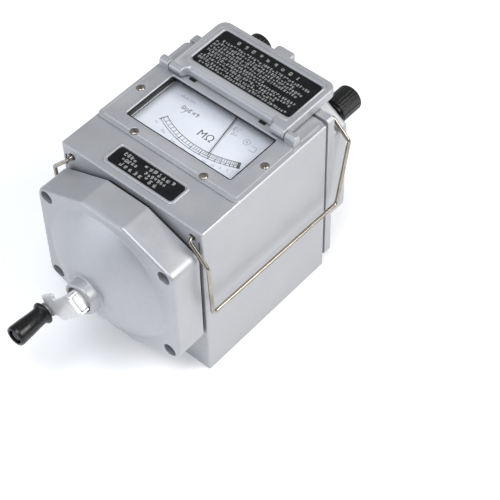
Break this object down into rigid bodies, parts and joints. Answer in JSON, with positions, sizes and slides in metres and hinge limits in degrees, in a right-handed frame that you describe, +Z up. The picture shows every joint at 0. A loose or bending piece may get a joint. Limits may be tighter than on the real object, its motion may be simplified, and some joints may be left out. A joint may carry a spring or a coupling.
{
  "type": "insulation resistance tester",
  "caption": "Hand-cranked insulation resistance tester: cast case with domed gear cover, folding crank, glazed ohm scale under a hinged lid, rear screw terminals and wire carrying bails.",
  "frame": {"origin": "centre of the case's bottom face, which stands on the bench", "axes": "+Z up; +Y from the crank end to the terminal end, along the crank shaft; +X to the right seen from the crank end"},
  "size_m": [0.1364, 0.2617, 0.15],
  "materials": {
    "casting": "satin silver-grey paint over an aluminium casting, with a faint metallic sparkle",
    "black_plate": "gloss black enamel on thin sheet",
    "bakelite": "polished black phenolic moulding",
    "chrome": "bright nickel-chrome plate",
    "steel": "bright zinc-plated steel",
    "brass": "machined brass",
    "screw": "plated screw heads with a warm, slightly coppery tone",
    "copper": "enamelled copper winding wire",
    "white_card": "matt white scale plate",
    "glass": "clear flat window glass",
    "magnet": "dark magnet alloy and stacked laminations",
    "board": "green glass-fibre circuit board with its resistors",
    "capacitor": "sleeved capacitor can"
  },
  "bodies": {
    "root": {"main_case": "casting", "front_cover": "casting", "rear_cover": "casting", "meter_panel": "casting", "nameplate": "black_plate", "lid_pin_left": "steel", "lid_pin_right": "steel", "window_gasket": "bakelite", "window_glass": "glass", "meter_tray": "bakelite", "dial_plate": "white_card", "magnet_system": "magnet", "shaft_bush": "brass", "gear_frame": "steel", "stator_core": "magnet", "generator_coil": "copper", "bearing_bracket": "steel", "circuit_board": "board", "capacitor": "capacitor", "front_screw_1": "steel", "rear_screw_1": "steel", "panel_screw_1": "screw", "front_screw_2": "steel", "rear_screw_2": "steel", "panel_screw_2": "screw", "front_screw_3": "steel", "rear_screw_3": "steel", "panel_screw_3": "screw", "front_screw_4": "steel", "rear_screw_4": "steel", "panel_screw_4": "screw", "line_terminal_base": "bakelite", "line_terminal_stud": "brass", "earth_terminal_base": "bakelite", "earth_terminal_stud": "brass", "guard_terminal_base": "bakelite", "guard_terminal_stud": "brass"},
    "crank": {"crank_shaft": "steel", "crank_hub": "chrome", "fold_pin": "steel", "drive_gear": "brass"},
    "arm": {"crank_arm": "steel", "grip_spindle": "steel"},
    "grip": {"grip": "bakelite"},
    "idler": {"idler_gear": "brass"},
    "rotor": {"rotor_shaft": "steel", "rotor_magnet": "magnet", "governor": "brass"},
    "lid": {"lid": "casting", "lid_label": "black_plate"},
    "needle": {"pointer": "black_plate", "moving_coil": "copper"},
    "bail_left": {"bail_left": "chrome"},
    "bail_right": {"bail_right": "chrome"},
    "line_washer": {"line_terminal_washer": "chrome"},
    "line_knob": {"line_terminal_knob": "bakelite"},
    "earth_washer": {"earth_terminal_washer": "chrome"},
    "earth_knob": {"earth_terminal_knob": "bakelite"},
    "guard_washer": {"guard_terminal_washer": "chrome"},
    "guard_knob": {"guard_terminal_knob": "bakelite"}
  },
  "joints": [
    {"name": "crank_turn", "type": "hinge", "parent": "root", "child": "crank", "pos_m": [0, -0.0595, 0.0788], "axis": [0, 1, 0], "continuous": true},
    {"name": "arm_fold", "type": "hinge", "parent": "crank", "child": "arm", "pos_m": [0.00543, -0.1174, 0.08494], "axis": [-0.749, 0, 0.6626], "range_deg": [0, 165]},
    {"name": "grip_spin", "type": "hinge", "parent": "arm", "child": "grip", "pos_m": [-0.0236, -0.1295, 0.05695], "axis": [0, 1, 0], "continuous": true},
    {"name": "idler_turn", "type": "hinge", "parent": "root", "child": "idler", "pos_m": [0.03, -0.0475, 0.05234], "axis": [0, 1, 0], "continuous": true},
    {"name": "rotor_turn", "type": "hinge", "parent": "root", "child": "rotor", "pos_m": [0, -0.0375, 0.05234], "axis": [0, 1, 0], "continuous": true},
    {"name": "lid_hinge", "type": "hinge", "parent": "root", "child": "lid", "pos_m": [0, 0.0325, 0.1463], "axis": [1, 0, 0], "range_deg": [0, 180]},
    {"name": "pointer_swing", "type": "hinge", "parent": "root", "child": "needle", "pos_m": [0.0025, 0.0535, 0.1305], "axis": [0, 0, 1], "range_deg": [-46.5, 22]},
    {"name": "bail_left_swing", "type": "hinge", "parent": "root", "child": "bail_left", "pos_m": [-0.0514, 0.0063, 0.1315], "axis": [0, 1, 0], "range_deg": [0, 134]},
    {"name": "bail_right_swing", "type": "hinge", "parent": "root", "child": "bail_right", "pos_m": [0.0514, 0.0063, 0.1315], "axis": [0, -1, 0], "range_deg": [0, 134]},
    {"name": "line_travel", "type": "slide", "parent": "root", "child": "line_washer", "axis": [0, 1, 0], "range_m": [0, 0.0032]},
    {"name": "line_turn", "type": "hinge", "parent": "line_washer", "child": "line_knob", "pos_m": [0.039, 0.0835, 0.1124], "axis": [0, 1, 0], "range_deg": [0, 1440]},
    {"name": "earth_travel", "type": "slide", "parent": "root", "child": "earth_washer", "axis": [0, 1, 0], "range_m": [0, 0.0032]},
    {"name": "earth_turn", "type": "hinge", "parent": "earth_washer", "child": "earth_knob", "pos_m": [-0.039, 0.0835, 0.1124], "axis": [0, 1, 0], "range_deg": [0, 1440]},
    {"name": "guard_travel", "type": "slide", "parent": "root", "child": "guard_washer", "axis": [0, 1, 0], "range_m": [0, 0.0032]},
    {"name": "guard_turn", "type": "hinge", "parent": "guard_washer", "child": "guard_knob", "pos_m": [0, 0.0835, 0.084], "axis": [0, 1, 0], "range_deg": [0, 1440]}
  ],
  "couplings": [
    {"joint": "idler_turn", "follows": "crank_turn", "ratio": -4},
    {"joint": "rotor_turn", "follows": "crank_turn", "ratio": 16},
    {"joint": "line_travel", "follows": "line_turn", "m_per_rad": 0.00012732},
    {"joint": "earth_travel", "follows": "earth_turn", "m_per_rad": 0.00012732},
    {"joint": "guard_travel", "follows": "guard_turn", "m_per_rad": 0.00012732}
  ]
}
